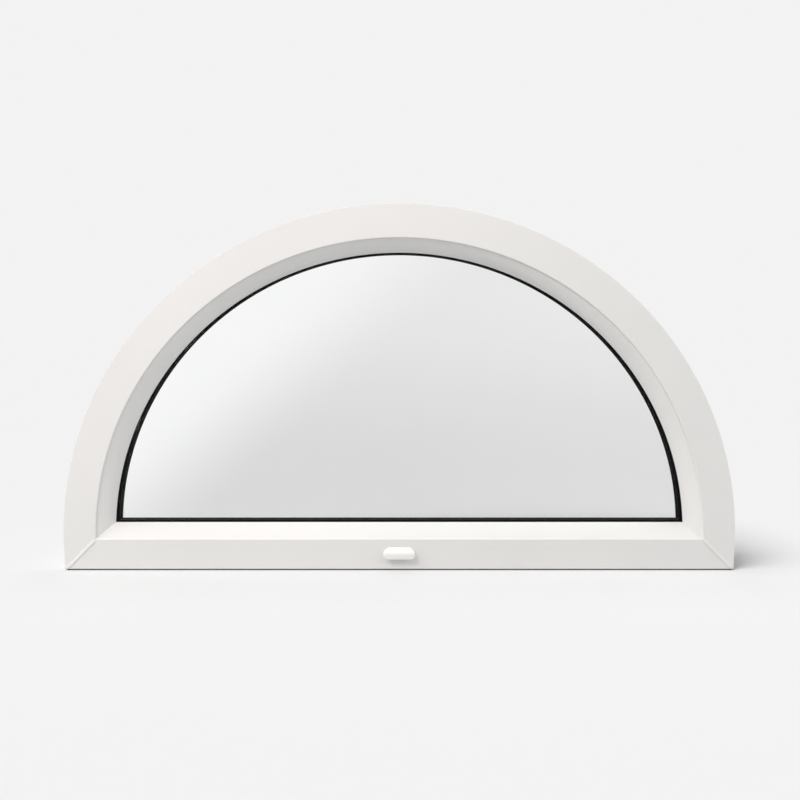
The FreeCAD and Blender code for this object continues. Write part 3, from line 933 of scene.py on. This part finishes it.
def makeWeepCover():
    shape = coverShape
    low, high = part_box("weep_cover")
    ridge = low.z + shape["frontHeight"]
    side = [
        (faceY, low.z, 0),
        (low.y, low.z, 0),
        (low.y, ridge, 0),
        (faceY, ridge, 0),
        (faceY, high.z, shape["hip"]),
    ]
    hood = bmesh.new()
    left = [hood.verts.new((low.x + inset, y, z)) for y, z, inset in side]
    right = [hood.verts.new((high.x - inset, y, z)) for y, z, inset in side]
    for end in (left, right):
        hood.faces.new(end[:4])
        hood.faces.new(end[2:])
    for start, stop in ((0, 1), (1, 2), (2, 4)):
        hood.faces.new((left[start], left[stop], right[stop], right[start]))
    hood.faces.new((left[0], left[3], left[4], right[4], right[3], right[0]))
    bmesh.ops.recalc_face_normals(hood, faces=hood.faces[:])
    corners = [hood.edges.get(end[:2]) for end in (left, right)]
    bmesh.ops.bevel(hood, geom=corners, offset=shape["lowRound"], segments=10, affect="EDGES", profile=0.5)
    tiny = 0.01 * mm
    rims = [edge for edge in hood.edges if edge.calc_face_angle() > shape["rimAngle"]
            and min(vert.co.y for vert in edge.verts) < faceY - tiny]
    bmesh.ops.bevel(hood, geom=rims, offset=shape["rimRound"], segments=5, affect="EDGES", profile=0.5)

    # open it below and behind, give it its wall, then set the prongs in
    flat = 0.999
    opened = [face for face in hood.faces if face.normal.z < -flat or face.normal.y > flat]
    bmesh.ops.delete(hood, geom=opened, context="FACES")
    piece = meshPiece("weep_hood", hood)
    wall = piece.modifiers.new("wall", "SOLIDIFY")
    wall.thickness = shape["wall"]
    wall.offset = -1
    wall.use_even_offset = True
    bake(piece)
    hood = bmesh.new()
    hood.from_mesh(piece.data)
    half, rise = shape["prongThickness"] / 2, shape["prongHeight"] / 2
    level = drainShape["level"] + drainShape["height"] / 2
    for middle in (-shape["prongOffset"], shape["prongOffset"]):
        start = (middle - half, low.y + shape["wall"] / 2, level - rise)
        block = addBlock(hood, start, (middle + half, high.y, level + rise))
        arrises = list({edge for face in block for edge in face.edges})
        bmesh.ops.bevel(hood, geom=arrises, offset=shape["prongRound"], segments=2, affect="EDGES", profile=0.5)
    for face in hood.faces:
        face.smooth = True
    hood.to_mesh(piece.data)
    hood.free()
    piece.data.set_sharp_from_angle(angle=shape["sharpAngle"])
    piece.data.materials.append(coverWhite)
    return settle(piece, "cover_plastic", "weep_cover")


weepHood = makeWeepCover()
print("weep cover")

# finishes of the solids that stay as they are
for node, finish in (
    ("outer_pane", clearPane), ("inner_pane", coatedPane), ("edge_seal", sealant),
    ("setting_block_left", blockGrey), ("setting_block_right", blockGrey),
):
    mesh = nodes[node].data
    mesh.materials.clear()
    mesh.materials.append(finish)

# Plain studio: an endless pale floor, an even sky and soft lamps, some for the window and one for the
# floor. A lamp's turn and rise are in degrees, from straight in front and from level. What the glass
# mirrors is dim in front, a little lighter higher up and to the right, with one large soft panel at
# the upper left.
studio = {
    "backdrop": 0.89,
    "sky": 0.42,
    "floor": 0.80,
    "floorBounce": 0.68,  # its share of light thrown back on the window
    # painted shade: the floor's colour is darker just in front of the sill, to offset the light the bright sill
    # throws on it
    "floorPaintedShade": {"shade": 0.74, "reach": 0.15, "from": 0.54, "to": 0.42},  # in front of the bright sill
    "floorSize": 120,
    "aim": (0, 0, 0.24),
    "lamps": {
        "window": {
            "left_lamp": {"kind": "SUN", "turn": -70, "rise": 40, "strength": 1.15, "angle": 45},
            "right_lamp": {"kind": "SUN", "turn": 60, "rise": 30, "strength": 0.68, "angle": 45},
            "top_lamp": {"kind": "SUN", "turn": 30, "rise": 75, "strength": 0.38, "angle": 45},
            "softbox": {
                "kind": "AREA", "turn": -36, "rise": 40, "strength": 1.1, "reach": 1.7, "size": 0.34,
                "tint": (1, 0.92, 0.88)},
            "back_lamp": {"kind": "SUN", "turn": 155, "rise": 40, "strength": 0.8, "angle": 40},
        },
        "floor": {
            "floor_lamp": {"kind": "SUN", "turn": -67, "rise": 60, "strength": 2.51, "angle": 30},
        },
    },
}
mirrored = {
    "dim": 0.05,
    "higher": 0.545,
    "higherFrom": -0.215,  # slopes of the mirrored ray, up and across
    "higherTo": 0.083,
    "right": 0.40,
    "rightTo": 0.6,
    "panel": 1.21,
    "panelTurn": 42,
    "panelFrom": -0.011,
    "panelTo": 0.176,
}


def softStep(graph, value, low, high):
    return graph.node("ShaderNodeMapRange", {"interpolation_type": "SMOOTHSTEP"}, {
        "Value": value, "From Min": low, "From Max": high}, out="Result")


def makeFloor():
    half = studio["floorSize"] / 2
    mesh = bpy.data.meshes.new("studio_floor")
    mesh.from_pydata([(-half, -half, 0), (half, -half, 0), (half, half, 0), (-half, half, 0)], [], [(0, 1, 2, 3)])
    material, graph = startMaterial("studio_floor")
    dim = studio["floorPaintedShade"]
    place = graph.node("ShaderNodeTexCoord", out="Object")
    place = graph.node("ShaderNodeSeparateXYZ", {}, {"Vector": place})
    # painted shade: near marks the floor strip in front of the sill, whose colour is darkened there
    near = softStep(graph, place.out("Y"), faceY - dim["reach"], faceY) * (place.out("Y") < faceY)
    near = near * softStep(graph, abs(place.out("X")), dim["from"], dim["to"])
    shades = (studio["floor"], dim["shade"], studio["floorBounce"])
    plain, paintedShade, bounce = [(shade, shade, shade, 1) for shade in shades]
    seen = graph.node("ShaderNodeLightPath", out="Is Camera Ray")
    colour = graph.blend(seen, bounce, graph.blend(near, plain, paintedShade))
    shader = graph.node("ShaderNodeBsdfPrincipled", {}, {
        "Base Color": colour, "Roughness": 1.0, "Specular IOR Level": 0.0})
    endMaterial(graph, shader)
    mesh.materials.append(material)
    floor = link(bpy.data.objects.new("studio_floor", mesh))
    floor.visible_glossy = False
    return floor


def makeSky():
    world = bpy.data.worlds.new("studio_sky")
    world.use_nodes = True
    world.node_tree.nodes.clear()
    graph = Wire(world.node_tree)
    ray = graph.node("ShaderNodeTexCoord", out="Generated")
    ray = graph.node("ShaderNodeSeparateXYZ", {}, {"Vector": ray})
    away = abs(ray.out("Y")).clipped(0.02, 1)
    across, up = ray.out("X") / away, ray.out("Z") / away
    turn = math.radians(mirrored["panelTurn"])
    inwards = up * math.cos(turn) - across * math.sin(turn)
    panel = softStep(graph, inwards, mirrored["panelFrom"], mirrored["panelTo"])
    higher = softStep(graph, up, mirrored["higherFrom"], mirrored["higherTo"])
    gloss = mirrored["dim"] + mirrored["right"] * across.clipped(0, mirrored["rightTo"])
    gloss = gloss + mirrored["higher"] * higher * (1 - panel) + mirrored["panel"] * panel
    path = graph.node("ShaderNodeLightPath", out="Is Glossy Ray")
    level = studio["sky"] + (gloss - studio["sky"]) * path
    level = level + (studio["backdrop"] - level) * path.out("Is Camera Ray")
    light = graph.node("ShaderNodeBackground", {}, {"Color": (1, 1, 1, 1), "Strength": level})
    graph.node("ShaderNodeOutputWorld", {}, {"Surface": light})
    bpy.context.scene.world = world


def makeLamp(name, looks, receivers, casters):
    turn, rise = math.radians(looks["turn"]), math.radians(looks["rise"])
    towards = Vector((math.sin(turn) * math.cos(rise), -math.cos(turn) * math.cos(rise), math.sin(rise)))
    lamp = bpy.data.lights.new(name, looks["kind"])
    holder = link(bpy.data.objects.new(name, lamp))
    holder.rotation_euler = towards.to_track_quat("Z", "Y").to_euler()
    holder.visible_glossy = False
    holder.light_linking.receiver_collection = receivers
    holder.light_linking.blocker_collection = casters
    if looks["kind"] == "SUN":
        lamp.energy = looks["strength"]
        lamp.angle = math.radians(looks["angle"])
        return
    lamp.color = looks["tint"]
    lamp.energy = looks["strength"] * math.pi * looks["reach"] ** 2
    lamp.shape = "DISK"
    lamp.size = looks["size"]
    holder.location = Vector(studio["aim"]) + towards * looks["reach"]


lit = {label: bpy.data.collections.new("lit_" + label) for label in studio["lamps"]}
casts = {label: bpy.data.collections.new("shade_on_" + label) for label in studio["lamps"]}
panes = [nodes["outer_pane"], nodes["inner_pane"]]
for piece in bpy.data.objects:
    if piece.type == "MESH":
        lit["window"].objects.link(piece)
        casts["window"].objects.link(piece)
        if piece != weepHood:  # too small to darken the floor
            casts["floor"].objects.link(piece)
        piece.visible_glossy = piece in panes  # the glass mirrors the studio alone
lit["floor"].objects.link(makeFloor())
makeSky()
for label, lamps in studio["lamps"].items():
    for name, looks in lamps.items():
        makeLamp(name, looks, lit[label], casts[label])

# camera: a little above the middle of the window, tipped slightly down
view = {"place": (0.001, -0.8616, 0.3096), "tip": 5.49, "lens": 28.494, "sensor": 36, "far": 200}
eye = bpy.data.cameras.new("eye")
eye.lens = view["lens"]
eye.sensor_width = view["sensor"]
eye.clip_end = view["far"]
camera = link(bpy.data.objects.new("eye", eye))
camera.location = view["place"]
camera.rotation_euler = (math.radians(90 - view["tip"]), 0, 0)
bpy.context.scene.camera = camera
bpy.context.scene.view_settings.view_transform = "Standard"
print("studio and camera set")
